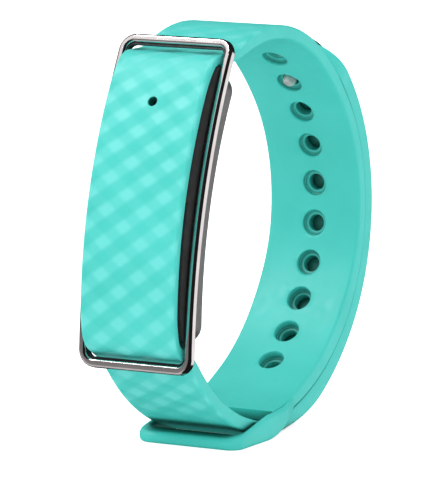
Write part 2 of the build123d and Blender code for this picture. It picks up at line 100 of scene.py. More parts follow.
FIRST_HOLE = 53.36
STUD_HOLE = 1
HOLE_RADIUS = 1.2
HOLE_RIM = 0.13
COUNTERBORE_RADIUS = 1.85
COUNTERBORE_DEPTH = 0.7
LIGHT_HOLE_RADIUS = 0.68
LIGHT_HOLE_STATION = 13.4
LIGHT_HOLE_RIM = 0.12
KEEPER_HALF = 8.2
KEEPER_SLOT_HALF = 7.15
KEEPER_CORNER = 2.2
KEEPER_SLOT_CORNER = 0.9
BAR_FRONT = 1.9
BAR_DEPTH = 2.8
BAR_TOP = -55.85
KEEPER_BASE = -57.4
KEEPER_TAIL_END = 20.0
KEEPER_END = 23.0           # where its rails have sunk into the strap
KEEPER_RISE = (11.5, 21.5)  # its underside leaves the floor and meets the strap
KEEPER_EDGE = 0.8
KEEPER_NARROWS = 15.5       # its rails draw inwards from here to their end
KEEPER_DRAW = (1.25, 0.9)   # by this much, on the outside and in the slot
KEEPER_PROUD = 0.04         # it stands this far off the strap's faces
KEEPER_SINK = 0.25          # and sinks this far at the ends of its rails
LOWER_STRAP = (-24, -28)    # the panel's section turns into the lower strap's between these

# --- the moulded relief: two families of shallow ridges crossing on the panel ---
RIDGE_PITCH = 4.42
RIDGE_SLOPE = 0.757
RIDGE_PHASES = (0.0, 0.57)
RIDGE_HEIGHTS = (0.15, 0.1)
RELIEF_FULL = (-35, 27)
RELIEF_END = (-43, 42)
RELIEF_FACE = -0.3          # the relief's painted highlight stays above this depth

# --- mesh fineness ---
ROW_STEP = 0.32
FACE_COLUMNS = 46
INNER_COLUMNS = 10
EDGE_ROUND = 0.42
EDGE_STEPS = 5
SHARP_EDGE = 38             # degrees, on the strap
SHARP_PART = 32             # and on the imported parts
RAIL_STEPS = 34
CORNER_STEPS = 9
BAR_STEPS = 12
TURN_STEPS = 40
TIP_SOFT = 1.2
TIP_ROWS = 26
TIP_FINE = 3                # the last stretch of the tail, with closer rows


# ---------------------------------------------------------------- outline

def walk(start, heading, runs):
    """Lay runs end to end. Each stretch is (point, heading, radius, sweep or length)."""
    stretches, point, angle = [], start, radians(heading)
    for radius, amount in runs:
        size = radians(amount) if radius else amount
        stretches.append((point, angle, radius, size))
        point = station(stretches[-1], 1, 0)
        angle += size if radius else 0
    return stretches


def station(stretch, share, offset):
    """The point a share of the way along a stretch, offset to the left of it."""
    (y, z), heading, radius, size = stretch
    turned = heading + share * size if radius else heading
    if radius:
        signed = copysign(radius, size)
        y += signed * (sin(turned) - sin(heading))
        z -= signed * (cos(turned) - cos(heading))
    else:
        y += share * size * cos(heading)
        z += share * size * sin(heading)
    return (y - offset * sin(turned), z + offset * cos(turned))


def end_of(stretches):
    _, heading, radius, size = stretches[-1]
    turned = heading + size if radius else heading
    return station(stretches[-1], 1, 0), turned * 180 / pi


def length_of(stretch):
    _, _, radius, size = stretch
    return radius * abs(size) if radius else size


def at_distance(stretches, distance):
    """Point, heading and stretch a distance along a walk."""
    for stretch in stretches:
        length = length_of(stretch)
        if distance <= length:
            share = distance / length
            turn = share * stretch[3] if stretch[2] else 0
            return station(stretch, share, 0), stretch[1] + turn, stretch
        distance -= length
    raise ValueError("the walk is too short")


def panel_start():
    lean = radians(MODULE_TILT)
    return (MODULE_CENTRE[0] - PANEL_CROWN * cos(lean), MODULE_CENTRE[1] + PANEL_CROWN * sin(lean))


def right_turns(runs):
    return [(radius, -amount if radius else amount) for radius, amount in runs]


def hole_strap_walk():
    runs = right_turns(PANEL_BEND + TOP_ROLL) + TOP_RISE + right_turns(BACK_ARCS)
    return walk(panel_start(), 90 - MODULE_TILT, runs)


def closing_runs(start, heading, end, end_heading):
    """The bend and straight that bring the tail from the frame to the outside of the strap."""
    first, slope, last = (radians(angle) for angle in (heading, SLOT_SLOPE, end_heading))
    gap_y = end[0] - start[0] - SLOT_BEND * (sin(last) - sin(slope))
    gap_z = end[1] - start[1] + SLOT_BEND * (cos(last) - cos(slope))
    bend_y, bend_z = sin(slope) - sin(first), cos(first) - cos(slope)
    run_y, run_z = cos(slope), sin(slope)
    scale = bend_y * run_z - bend_z * run_y
    bend = (gap_y * run_z - gap_z * run_y) / scale
    straight = (bend_y * gap_z - bend_z * gap_y) / scale
    return [(bend, SLOT_SLOPE - heading), (0, straight), (SLOT_BEND, end_heading - SLOT_SLOPE)]


def back_centre():
    point, heading = end_of(hole_strap_walk())
    towards = radians(heading - 90)
    radius = BACK_ARCS[-1][0]
    return (point[0] + radius * cos(towards), point[1] + radius * sin(towards))


def slot_runs():
    """From the panel's middle down and through the keeper slot, to where the tail lies flat."""
    outer = BACK_ARCS[-1][0] + LAYER_GAP + TAIL_THICK
    centre, merge = back_centre(), radians(MERGE_HEADING)
    merge_point = (centre[0] + outer * sin(merge), centre[1] - outer * cos(merge))
    runs = PANEL_BEND + BOTTOM_ROLL + BOTTOM_DIVE
    point, heading = end_of(walk(panel_start(), 270 - MODULE_TILT, runs))
    return runs + closing_runs(point, heading - 360, merge_point, MERGE_HEADING)


UP = hole_strap_walk()
DOWN = walk(panel_start(), 270 - MODULE_TILT, slot_runs())
DOWN_LENGTH = sum(length_of(stretch) for stretch in DOWN)
UP_ENDS = [sum(length_of(stretch) for stretch in UP[:count + 1]) for count in range(len(UP))]
LAST_BEND = -degrees(UP[-1][3])
MERGE_SHARE = 1 - (MERGE_HEADING - degrees(UP[-1][1]) + LAST_BEND - 180) / LAST_BEND
MERGE = UP_ENDS[-2] + MERGE_SHARE * length_of(UP[-1])
THINNING = UP_ENDS[-2] + THICK_END * length_of(UP[-1])
TIP = FIRST_HOLE + STUD_HOLE * HOLE_PITCH - TIP_LENGTH
TIP_ALONG = TIP - MERGE - DOWN_LENGTH

strap_low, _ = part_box("strap")
front = min(station(stretch, step / 8, 0)[0] for stretch in DOWN[:3] for step in range(9))
SHIFT_Y = strap_low.y / MM - front
SHIFT_Z = strap_low.z / MM - KEEPER_BASE


def place(x, y, z):
    """A point of the outline, in the row's frame, in metres."""
    return Vector((x * MM, (y + SHIFT_Y) * MM, (z + SHIFT_Z) * MM))


def ease(value, start, end):
    share = min(max((value - start) / (end - start), 0), 1)
    return share * share * (3 - 2 * share)


def outer_line(distance):
    """Outer face of the hole strap, off its walk."""
    grown = BACK_SWELL * ease(distance, UP_ENDS[3], UP_ENDS[5])
    return grown * (1 - ease(distance, UP_ENDS[-2] - 1, MERGE))


def inner_line(distance):
    thicker = ease(distance, UP_ENDS[7] + 20, UP_ENDS[-2]) * (1 - ease(distance, THINNING, MERGE))
    return -STRAP_THICK + (BACK_INNER + STRAP_THICK) * thicker


def tail_line(distance):
    """Outer face of the tail where it lies on the hole strap."""
    flat = LAYER_GAP + TAIL_THICK
    return flat + (TAIL_OUTER - flat) * (1 - ease(distance, THINNING - 3, MERGE))


# ---------------------------------------------------------------- mesh helpers

def add_object(name, mesh):
    made = bpy.data.objects.new(name, mesh)
    bpy.context.scene.collection.objects.link(made)
    return made


def smooth(mesh):
    mesh.polygons.foreach_set("use_smooth", [True] * len(mesh.polygons))
    mesh.set_sharp_from_angle(angle=radians(SHARP_EDGE))


def loft(name, rings, uvs=None, relief=None, closed=False):
    """A mesh through rings of equal length, capped at both ends unless it closes on itself."""
    mesh = bpy.data.meshes.new(name)
    build = bmesh.new()
    layer = build.loops.layers.uv.new("strap_uv") if uvs else None
    weight = build.verts.layers.float.new("relief") if relief else None
    verts = [[build.verts.new(point) for point in ring] for ring in rings]
    if relief:
        for ring, values in zip(verts, relief):
            for vert, value in zip(ring, values):
                vert[weight] = value
    count = len(rings[0])
    last = len(rings) if closed else len(rings) - 1
    for row in range(last):
        here, there = verts[row], verts[(row + 1) % len(rings)]
        for column in range(count):
            beside = (column + 1) % count
            face = build.faces.new((here[column], here[beside], there[beside], there[column]))
            if uvs:
                spots = ((row, column), (row, beside), (row + 1, beside), (row + 1, column))
                for loop, (r, c) in zip(face.loops, spots):
                    loop[layer].uv = uvs[r][c]
    if not closed:
        build.faces.new(verts[0])
        build.faces.new(list(reversed(verts[-1])))
    bmesh.ops.recalc_face_normals(build, faces=build.faces)
    build.to_mesh(mesh)
    build.free()
    return add_object(name, mesh)


def bake(made):
    """Apply the modifiers."""
    graph = bpy.context.evaluated_depsgraph_get()
    mesh = bpy.data.meshes.new_from_object(made.evaluated_get(graph))
    made.modifiers.clear()
    made.data = mesh


def combine(made, other, operation):
    modifier = made.modifiers.new(operation, "BOOLEAN")
    modifier.object, modifier.operation, modifier.solver = other, operation, "EXACT"
    bake(made)
    bpy.data.objects.remove(other)


def rounded_section(width, thick):
    """Points (x, depth, on the outer face) round the strap's cross-section, depth 0 outermost."""
    points = []
    half, flat = width / 2, width / 2 - EDGE_ROUND

    def corner(x, depth, start):
        for step in range(1, EDGE_STEPS):
            turn = radians(start + 90 * step / EDGE_STEPS)
            points.append((x + EDGE_ROUND * sin(turn), depth + EDGE_ROUND * cos(turn), 0))

    def side(x, depths):
        points.extend((x, depth, 0) for depth in depths)

    levels = (-EDGE_ROUND, -thick / 2, EDGE_ROUND - thick)
    for column in range(FACE_COLUMNS + 1):
        points.append((-flat + 2 * flat * column / FACE_COLUMNS, 0, 1))
    corner(flat, -EDGE_ROUND, 0)
    side(half, levels)
    corner(flat, EDGE_ROUND - thick, 90)
    for column in range(INNER_COLUMNS + 1):
        points.append((flat - 2 * flat * column / INNER_COLUMNS, -thick, 0))
    corner(-flat, EDGE_ROUND - thick, 180)
    side(-half, reversed(levels))
    corner(-flat, -EDGE_ROUND, 270)
    return points


def ridge(phase):
    """Triangular wave: 1 at a whole phase, -1 half way between."""
    return 1 - 4 * abs((phase + 0.5) % 1 - 0.5)


def relief_weight(along):
    low = ease(along, RELIEF_END[0], RELIEF_FULL[0])
    return low * (1 - ease(along, RELIEF_FULL[1], RELIEF_END[1]))


def relief_depth(x, along):
    phases = ((along - RIDGE_SLOPE * x) / RIDGE_PITCH, (along + RIDGE_SLOPE * x) / RIDGE_PITCH)
    return sum(height * (ridge(phase - first) - 1) / 2
               for phase, first, height in zip(phases, RIDGE_PHASES, RIDGE_HEIGHTS))


def even_steps(first, last):
    count = round(abs(last - first) / ROW_STEP)
    return [first + (last - first) * index / count for index in range(count + 1)]


def rows_of(stretches, side, distances, outer_of, thick_of, along_of):
    """Rows along a walk: (along, y, z, outward y, outward z, thickness)."""
    total = sum(length_of(stretch) for stretch in stretches)
    rows = []
    for distance in distances:
        (y, z), heading, _ = at_distance(stretches, min(distance, total - 1e-9))
        out_y, out_z = -side * sin(heading), side * cos(heading)
        outer = outer_of(distance)
        rows.append((along_of(distance), y + outer * out_y, z + outer * out_z, out_y, out_z,
                     thick_of(distance)))
    return rows


def lower_share(along):
    """0 on the panel, 1 on the thicker and narrower strap below it."""
    return 1 - ease(along, LOWER_STRAP[1], LOWER_STRAP[0])


def ribbon(name, rows, width_of):
    """Sweep the strap's section along rows."""
    rings, uvs, weights = [], [], []
    for along, y, z, out_y, out_z, thick in rows:
        width = width_of(along)
        weight = relief_weight(along)
        ring, uv, values = [], [], []
        for x, depth, outer in rounded_section(width, thick):
            if outer and weight:
                near_edge = min(1, (width / 2 - abs(x) - EDGE_ROUND) / 0.5 + 0.25)
                depth += weight * near_edge * relief_depth(x, along)
            ring.append(place(x, y + out_y * depth, z + out_z * depth))
            uv.append((x, along))
            # weight of the painted highlight on the ridges' flanks, on the outer face only
            values.append(weight if depth > RELIEF_FACE else 0)
        rings.append(ring)
        uvs.append(uv)
        weights.append(values)
    return loft(name, rings, uvs, weights)


def lathe(name, profile, origin, axis):
    """A closed turned cutter: profile is (radius, height) from top to bottom along the axis."""
    across = Vector((1, 0, 0))
    beside = axis.cross(across)
    rings = []
    for radius, height in profile:
        rings.append([origin + axis * height * MM
                      + (across * cos(2 * pi * k / TURN_STEPS) + beside * sin(2 * pi * k / TURN_STEPS))
                      * radius * MM for k in range(TURN_STEPS)])
    return loft(name, rings)


# ---------------------------------------------------------------- strap, fixed part

def fixed_width(along):
    return STRAP_WIDTH + (TAIL_WIDTH - STRAP_WIDTH) * lower_share(along)


def fixed_rows():
    up = rows_of(UP, 1, even_steps(UP_ENDS[-1], 0), outer_line, lambda d: outer_line(d) - inner_line(d),
                 lambda d: d)
    down = rows_of(DOWN, -1, even_steps(0, DOWN_LENGTH), lambda d: 0,
                   lambda d: STRAP_THICK + (TAIL_THICK - STRAP_THICK) * lower_share(-d), lambda d: -d)
    return up + down[1:]


def section_corners(span, height, radius):
    """(distance across, share of the height) round a rounded rectangle."""
    radius = min(radius, span * 0.48, height * 0.45)
    points = []
    for cx, cy, start in ((radius, radius, 180), (span - radius, radius, 270),
                          (span - radius, height - radius, 0), (radius, height - radius, 90)):
        for step in range(EDGE_STEPS + 1):
            turn = radians(start + 90 * step / EDGE_STEPS)
            points.append((cx + radius * cos(turn), (cy + radius * sin(turn)) / height))
    return points


def keeper():
    """The moulded ring: two side rails and an end bar, swept round three sides of the slot."""
    centre = back_centre()
    inner_radius, outer_radius = BACK_ARCS[-1][0] - STRAP_THICK, BACK_ARCS[-1][0]

    def on_circle(radius, y):
        return centre[1] - sqrt(radius ** 2 - (y - centre[0]) ** 2)

    def top(y):
        if y > centre[0]:
            return on_circle(inner_radius, y)
        share = (y - BAR_FRONT) / (centre[0] - BAR_FRONT)
        return BAR_TOP + (on_circle(inner_radius, centre[0]) - BAR_TOP) * share

    def bottom(y):
        return KEEPER_BASE + (on_circle(outer_radius, y) - KEEPER_BASE) * ease(y, *KEEPER_RISE)

    bar_back = BAR_FRONT + BAR_DEPTH
    pairs = []
    for step in range(RAIL_STEPS + 1):
        y = KEEPER_END + (BAR_FRONT + KEEPER_CORNER - KEEPER_END) * step / RAIL_STEPS
        y_in = KEEPER_END + (bar_back + KEEPER_SLOT_CORNER - KEEPER_END) * step / RAIL_STEPS
        inward = ease(y, KEEPER_NARROWS, KEEPER_END)
        pairs.append(((KEEPER_HALF - KEEPER_DRAW[0] * inward, y),
                      (KEEPER_SLOT_HALF - KEEPER_DRAW[1] * inward, y_in)))
    for step in range(1, CORNER_STEPS + 1):
        turn = radians(90 * step / CORNER_STEPS)
        pairs.append(((KEEPER_HALF - KEEPER_CORNER * (1 - cos(turn)),
                       BAR_FRONT + KEEPER_CORNER * (1 - sin(turn))),
                      (KEEPER_SLOT_HALF - KEEPER_SLOT_CORNER * (1 - cos(turn)),
                       bar_back + KEEPER_SLOT_CORNER * (1 - sin(turn)))))
    outer_x, inner_x = KEEPER_HALF - KEEPER_CORNER, KEEPER_SLOT_HALF - KEEPER_SLOT_CORNER
    for step in range(1, BAR_STEPS + 1):
        share = 1 - step / BAR_STEPS
        pairs.append(((outer_x * share, BAR_FRONT), (inner_x * share, bar_back)))
    pairs += [((-a[0], a[1]), (-b[0], b[1])) for a, b in reversed(pairs[:-1])]

    rings = []
    for (xo, yo), (xi, yi) in pairs:
        proud = KEEPER_PROUD - KEEPER_SINK * ease(max(yo, yi), KEEPER_TAIL_END - 1, KEEPER_END)
        span = sqrt((xo - xi) ** 2 + (yo - yi) ** 2)
        ring = []
        for h, v in section_corners(span, top((yo + yi) / 2) - bottom((yo + yi) / 2), KEEPER_EDGE):
            share = h / span
            x, y = xo + (xi - xo) * share, yo + (yi - yo) * share
            low, high = bottom(y) + max(-proud, 0), top(y) + proud
            ring.append(place(x, y, low + (high - low) * v))
        rings.append(ring)
    return loft("keeper", rings)


def hole_cutter(index):
    """Through hole with eased rims and a counterbore from the inner side."""
    distance = FIRST_HOLE + index * HOLE_PITCH
    (y, z), heading, _ = at_distance(UP, distance)
    axis = Vector((0, -sin(heading), cos(heading)))
    top, step, mouth = outer_line(distance), COUNTERBORE_DEPTH - STRAP_THICK, inner_line(distance)
    rim = HOLE_RIM
    profile = [(HOLE_RADIUS + rim + 0.1, top + 1), (HOLE_RADIUS + rim, top + 0.02),
               (HOLE_RADIUS + rim * 0.3, top - rim * 0.4), (HOLE_RADIUS, top - rim),
               (HOLE_RADIUS, step + rim), (HOLE_RADIUS + rim * 0.3, step + rim * 0.3),
               (HOLE_RADIUS + rim, step), (COUNTERBORE_RADIUS - rim, step),
               (COUNTERBORE_RADIUS, step - rim), (COUNTERBORE_RADIUS, mouth + 0.12),
               (COUNTERBORE_RADIUS + 0.04, mouth + 0.02), (COUNTERBORE_RADIUS + 0.28, mouth - 0.16),
               (COUNTERBORE_RADIUS + 0.28, mouth - 1)]
    return lathe(f"cutter_{index}", profile, place(0, y, z), axis)


def light_hole_cutter():
    (y, z), heading, _ = at_distance(UP, LIGHT_HOLE_STATION)
    axis = Vector((0, -sin(heading), cos(heading)))
    radius, rim = LIGHT_HOLE_RADIUS, LIGHT_HOLE_RIM
    profile = [(radius + rim + 0.3, 0.3), (radius + rim, 0), (radius + 0.03, -rim), (radius, -2 * rim),
               (radius, -3)]
    return lathe("light_cutter", profile, place(0, y, z), axis)


def join(parts):
    """Merge separate meshes into the first."""
    build = bmesh.new()
    for part in parts:
        build.from_mesh(part.data)
    build.to_mesh(parts[0].data)
    build.free()
    for part in parts[1:]:
        bpy.data.objects.remove(part)
    return parts[0]


strap_band = ribbon("strap_band", fixed_rows(), fixed_width)
combine(strap_band, keeper(), "UNION")
cutters = [hole_cutter(index) for index in range(HOLE_COUNT)] + [light_hole_cutter()]
combine(strap_band, join(cutters), "DIFFERENCE")
smooth(strap_band.data)

# ---------------------------------------------------------------- strap, tail

def tail_width(along):
    """Full width, drawn in round the tip's corners."""
    left = along - TIP_ALONG
    if left >= TIP_CORNER:
        return TAIL_WIDTH
    return TAIL_WIDTH - 2 * (TIP_CORNER - sqrt(max(TIP_CORNER ** 2 - (TIP_CORNER - left) ** 2, 0)))


def tip_share(distance):
    """Thins the last millimetre of the tail to a soft edge."""
    left = min(max(distance - TIP, 0), TIP_SOFT)
    return 0.45 + 0.55 * sqrt(1 - (1 - left / TIP_SOFT) ** 2)


def tail_rows():
    """From the end of the fixed part to the tip, closing to a rounded edge there."""
    def thickness(distance):
        return (tail_line(distance) - outer_line(distance) - LAYER_GAP) * tip_share(distance)

    def top(distance):
        return outer_line(distance) + LAYER_GAP + thickness(distance)

    distances = even_steps(MERGE, TIP + TIP_FINE)
    distances += [TIP + TIP_FINE * (1 - step / TIP_ROWS) ** 2 for step in range(1, TIP_ROWS - 1)]
    return rows_of(UP, 1, distances, top, thickness, lambda d: d - MERGE - DOWN_LENGTH)


strap_end = ribbon("strap_end", tail_rows(), tail_width)
smooth(strap_end.data)

# ---------------------------------------------------------------- materials

def new_material(name):
    made = bpy.data.materials.new(name)
    made.use_nodes = True
    tree = made.node_tree
    shader = next(node for node in tree.nodes if node.type == "BSDF_PRINCIPLED")
    return made, tree, shader


def noise(tree, scale, detail=3, rough=0.55):
    coords = tree.nodes.new("ShaderNodeTexCoord")
    made = tree.nodes.new("ShaderNodeTexNoise")
    made.inputs["Scale"].default_value = scale
    made.inputs["Detail"].default_value = detail
    made.inputs["Roughness"].default_value = rough
    tree.links.new(coords.outputs["Object"], made.inputs["Vector"])
    return made.outputs["Fac"]


def maths(tree, operation, first, second=None, third=None):
    made = tree.nodes.new("ShaderNodeMath")
    made.operation = operation
    for socket, value in zip(made.inputs, (first, second, third)):
        if value is None:
            continue
        if hasattr(value, "node"):
            tree.links.new(value, socket)
        else:
            socket.default_value = value
    return made.outputs[0]


def spread(tree, value, low, high):
    """Map 0.3..0.7 of a noise to low..high."""
    made = tree.nodes.new("ShaderNodeMapRange")
    tree.links.new(value, made.inputs["Value"])
    made.inputs["From Min"].default_value, made.inputs["From Max"].default_value = 0.3, 0.7
    made.inputs["To Min"].default_value, made.inputs["To Max"].default_value = low, high
    return made.outputs["Result"]


def blend_colours(tree, factor, low, high):
    made = tree.nodes.new("ShaderNodeMix")
    made.data_type = "RGBA"
    for socket, colour in ((made.inputs[6], low), (made.inputs[7], high)):
        if hasattr(colour, "node"):
            tree.links.new(colour, socket)
        else:
            socket.default_value = (*colour, 1)
    if hasattr(factor, "node"):
        tree.links.new(factor, made.inputs[0])
    else:
        made.inputs[0].default_value = factor
    return made.outputs[2]


def bump(tree, shader, height, strength, distance):
    made = tree.nodes.new("ShaderNodeBump")
    made.inputs["Strength"].default_value = strength
    made.inputs["Distance"].default_value = distance
    tree.links.new(height, made.inputs["Height"])
    tree.links.new(made.outputs["Normal"], shader.inputs["Normal"])


MINT_DARK = (0.064, 0.66, 0.585)
MINT_LIGHT = (0.080, 0.72, 0.65)
# painted highlight: the lighter, whiter colour given to the lit flank of the ridges
MINT_PAINTED_HIGHLIGHT = (0.19, 0.83, 0.78)
# painted shade: the near-black that hollows, holes and creases are darkened towards
MINT_PAINTED_SHADE = (0.0, 0.10, 0.075)


def elastomer(name, own_shade):
    """Moulded elastomer: fine grain, cloudy tone, ridges painted lighter on one flank as a painted
    highlight, and painted shade in deep hollows.

    The painted shade in the hollows is found from the piece alone where own_shade is set, else from
    its neighbours too.
    """
    made, tree, shader = new_material(name)
    cloud = spread(tree, noise(tree, 90, 2), 0, 1)
    base = blend_colours(tree, cloud, MINT_DARK, MINT_LIGHT)
    uv = tree.nodes.new("ShaderNodeUVMap")
    uv.uv_map = "strap_uv"
    split = tree.nodes.new("ShaderNodeSeparateXYZ")
    tree.links.new(uv.outputs["UV"], split.inputs["Vector"])
    x, along = split.outputs["X"], split.outputs["Y"]
    # painted highlight: one flank of each ridge family is made lighter, as where light from the upper
    # left falls
    lit_flanks = []
    for side, first in ((-1, RIDGE_PHASES[0]), (1, RIDGE_PHASES[1])):
        slanted = maths(tree, "MULTIPLY_ADD", x, side * RIDGE_SLOPE, along)
        phase = maths(tree, "MULTIPLY_ADD", slanted, 1 / RIDGE_PITCH, 0.25 - first)
        wave = maths(tree, "PINGPONG", phase, 0.5)
        flank = tree.nodes.new("ShaderNodeMapRange")
        flank.interpolation_type = "SMOOTHSTEP"
        tree.links.new(wave, flank.inputs["Value"])
        flank.inputs["From Min"].default_value, flank.inputs["From Max"].default_value = 0.14, 0.36
        lit_flanks.append(flank.outputs["Result"])
    weight = tree.nodes.new("ShaderNodeAttribute")
    weight.attribute_name = "relief"
    both = maths(tree, "MULTIPLY", lit_flanks[0], lit_flanks[1])
    tone = maths(tree, "MULTIPLY_ADD", lit_flanks[0], 0.30, maths(tree, "MULTIPLY", both, 0.26))
    tone = maths(tree, "ADD", tone, maths(tree, "MULTIPLY", lit_flanks[1], 0.12))
    tone = maths(tree, "MULTIPLY", tone, weight.outputs["Fac"])
    colour = blend_colours(tree, tone, base, MINT_PAINTED_HIGHLIGHT)
    # painted shade: ambient occlusion darkens the colour in hollows, holes, creases and narrow gaps
    painted_shade_ao = tree.nodes.new("ShaderNodeAmbientOcclusion")
    painted_shade_ao.samples = 8
    painted_shade_ao.only_local = own_shade
    painted_shade_ao.inputs["Distance"].default_value = 0.0025
    unshaded_share = tree.nodes.new("ShaderNodeMapRange")
    unshaded_share.interpolation_type = "SMOOTHSTEP"
    tree.links.new(painted_shade_ao.outputs["AO"], unshaded_share.inputs["Value"])
    unshaded_share.inputs["From Min"].default_value, unshaded_share.inputs["From Max"].default_value = 0.3, 0.92
    colour = blend_colours(tree, unshaded_share.outputs["Result"], MINT_PAINTED_SHADE, colour)
    tree.links.new(colour, shader.inputs["Base Color"])
    tree.links.new(spread(tree, noise(tree, 700, 4), 0.42, 0.56), shader.inputs["Roughness"])
    shader.inputs["IOR"].default_value = 1.45
    shader.inputs["Subsurface Weight"].default_value = 0.18
    shader.inputs["Subsurface Radius"].default_value = (0.4, 1.0, 0.9)
    shader.inputs["Subsurface Scale"].default_value = 0.0008
    bump(tree, shader, noise(tree, 5200, 4, 0.6), 0.12, 0.00006)
    return made


def finish_of(name, low, high, rough, metallic=0.0, grain=3000, relief=0.1, coat=0.0):
    """A plain material with grain: two tones, a roughness range and a fine bump."""
    made, tree, shader = new_material(name)
    tone = spread(tree, noise(tree, grain / 8, 3), 0, 1)
    tree.links.new(blend_colours(tree, tone, low, high), shader.inputs["Base Color"])
    tree.links.new(spread(tree, noise(tree, grain / 3, 4), *rough), shader.inputs["Roughness"])
    shader.inputs["Metallic"].default_value = metallic
    shader.inputs["Coat Weight"].default_value = coat
    shader.inputs["Coat Roughness"].default_value = 0.08
    bump(tree, shader, noise(tree, grain, 4, 0.6), relief, 0.00003)
    return made


def clear_pipe():
    made, tree, shader = new_material("light_pipe_clear")
    shader.inputs["Transmission Weight"].default_value = 0.85
    shader.inputs["IOR"].default_value = 1.49
    tree.links.new(spread(tree, noise(tree, 2500), 0.05, 0.18), shader.inputs["Roughness"])
    shader.inputs["Base Color"].default_value = (0.03, 0.035, 0.035, 1)
    return made


# low tone, high tone, roughness range, and what differs from a plain matt part
FINISHES = {
    "stud_cap_black": ((0.004, 0.004, 0.005), (0.01, 0.01, 0.012), (0.06, 0.14), {"coat": 0.6}),
    "stud_steel": ((0.7, 0.69, 0.68), (0.86, 0.85, 0.83), (0.3, 0.42),
                   {"metallic": 0.5, "grain": 9000, "relief": 0.25}),
    "dark_chrome": ((0.6, 0.55, 0.55), (0.7, 0.64, 0.64), (0.07, 0.12),
                    {"metallic": 1.0, "grain": 2500, "relief": 0.03}),
    "housing_black": ((0.035, 0.033, 0.034), (0.05, 0.047, 0.048), (0.28, 0.4), {"grain": 4500}),
    "liner_black": ((0.006, 0.006, 0.007), (0.012, 0.012, 0.013), (0.45, 0.6), {}),
    "seal_rubber": ((0.012, 0.012, 0.012), (0.02, 0.02, 0.02), (0.6, 0.75), {}),
    "cover_graphite": ((0.085, 0.083, 0.085), (0.12, 0.118, 0.12), (0.3, 0.42), {"grain": 4500}),
    "screw_steel": ((0.42, 0.42, 0.43), (0.55, 0.55, 0.56), (0.22, 0.36), {"metallic": 0.6}),
    "contact_gold": ((0.83, 0.6, 0.24), (0.9, 0.68, 0.32), (0.2, 0.32), {"metallic": 0.6}),
    "spring_steel": ((0.5, 0.5, 0.5), (0.65, 0.65, 0.66), (0.2, 0.35), {"metallic": 1.0}),
    "chassis_plastic": ((0.04, 0.04, 0.04), (0.07, 0.07, 0.07), (0.45, 0.6), {}),
    "board_green": ((0.008, 0.1, 0.05), (0.014, 0.15, 0.08), (0.25, 0.4), {"coat": 0.3}),
    "chip_black": ((0.018, 0.018, 0.02), (0.03, 0.03, 0.032), (0.4, 0.55), {}),
    "shield_tin": ((0.55, 0.55, 0.53), (0.68, 0.68, 0.66), (0.3, 0.45), {"metallic": 1.0}),
    "antenna_ceramic": ((0.7, 0.7, 0.66), (0.8, 0.8, 0.76), (0.3, 0.45), {}),
    "led_package": ((0.8, 0.78, 0.62), (0.88, 0.86, 0.74), (0.2, 0.3), {}),
    "battery_foil": ((0.6, 0.61, 0.63), (0.72, 0.73, 0.75), (0.3, 0.42),
                     {"metallic": 1.0, "grain": 1200, "relief": 0.2}),
    "foam_tape": ((0.05, 0.05, 0.05), (0.1, 0.1, 0.1), (0.8, 0.95), {"relief": 0.4}),
    "nickel_tab": ((0.5, 0.48, 0.42), (0.64, 0.62, 0.56), (0.25, 0.4), {"metallic": 1.0}),
    "motor_steel": ((0.5, 0.5, 0.5), (0.62, 0.62, 0.62), (0.2, 0.35), {"metallic": 1.0}),
    "rotor_weight": ((0.2, 0.2, 0.21), (0.3, 0.3, 0.31), (0.35, 0.55), {"metallic": 1.0, "relief": 0.3}),
}
MATERIALS = {
    "mint_elastomer": elastomer("mint_elastomer", True),
    "light_pipe_clear": clear_pipe(),
}
for slot, (low, high, rough, extra) in FINISHES.items():
    MATERIALS[slot] = finish_of(slot, low, high, rough, **extra)

for part in frame["record"]["subparts"]:
    node = frame["nodes"][part["node"]]
    node.data.materials.clear()
    node.data.materials.append(MATERIALS[part["material_slot"]])
    node.data.set_sharp_from_angle(angle=radians(SHARP_PART))

for piece, node, mint in ((strap_band, "strap", MATERIALS["mint_elastomer"]),
                          (strap_end, "strap_tail", elastomer("mint_elastomer_tail", False))):
    piece.data.materials.clear()
    piece.data.materials.append(mint)
    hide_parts(node)

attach(strap_band, "band")
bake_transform(strap_end)

# ---------------------------------------------------------------- studio

FLOOR_RADIUS = 6            # metres
FLOOR_GLOW = 0.75
FLOOR_BOUNCE = 0.12         # less of it lights the object from below
SOFT_LIGHT = 1.12
DARK_STUDIO = 0.015
LOW_BOX, HIGH_BOX, FLOOR_BOX, BACK_BOX = 0.28, 1.1, 0.6, 1.5
FRONT_LEFT, BACK_RIGHT = (-85, -75, -20, -10), (128, 136, 164, 172)     # soft-edged spans, degrees
BOX_HEIGHTS = (0.4, 0.62, 0.97, 1.0)
FLOOR_HEIGHTS = (-2, -1.5, -0.3, -0.1)
BACK_HEIGHTS = (-0.5, -0.4, 0.02, 0.1)


def floor_sheet():
    """A pale round floor."""
    mesh = bpy.data.meshes.new("floor")
    build = bmesh.new()
    bmesh.ops.create_circle(build, cap_ends=True, segments=96, radius=FLOOR_RADIUS)
    build.to_mesh(mesh)
    build.free()
    made = add_object("floor", mesh)
    material, tree, shader = new_material("floor_paper")
    tone = spread(tree, noise(tree, 3, 2), 0, 1)
    paper = blend_colours(tree, tone, (0.86, 0.86, 0.86), (0.88, 0.88, 0.88))
    tree.links.new(paper, shader.inputs["Base Color"])
    shader.inputs["Roughness"].default_value = 0.9
    shader.inputs["Specular IOR Level"].default_value = 0.1
    shader.inputs["Emission Color"].default_value = (1, 1, 1, 1)
    path = tree.nodes.new("ShaderNodeLightPath")
    bounced = path.outputs["Is Diffuse Ray"]
    glow = maths(tree, "MULTIPLY_ADD", bounced, FLOOR_BOUNCE - FLOOR_GLOW, FLOOR_GLOW)
    tree.links.new(glow, shader.inputs["Emission Strength"])
    mesh.materials.append(material)
    made.visible_glossy = False
    return made


floor_sheet()


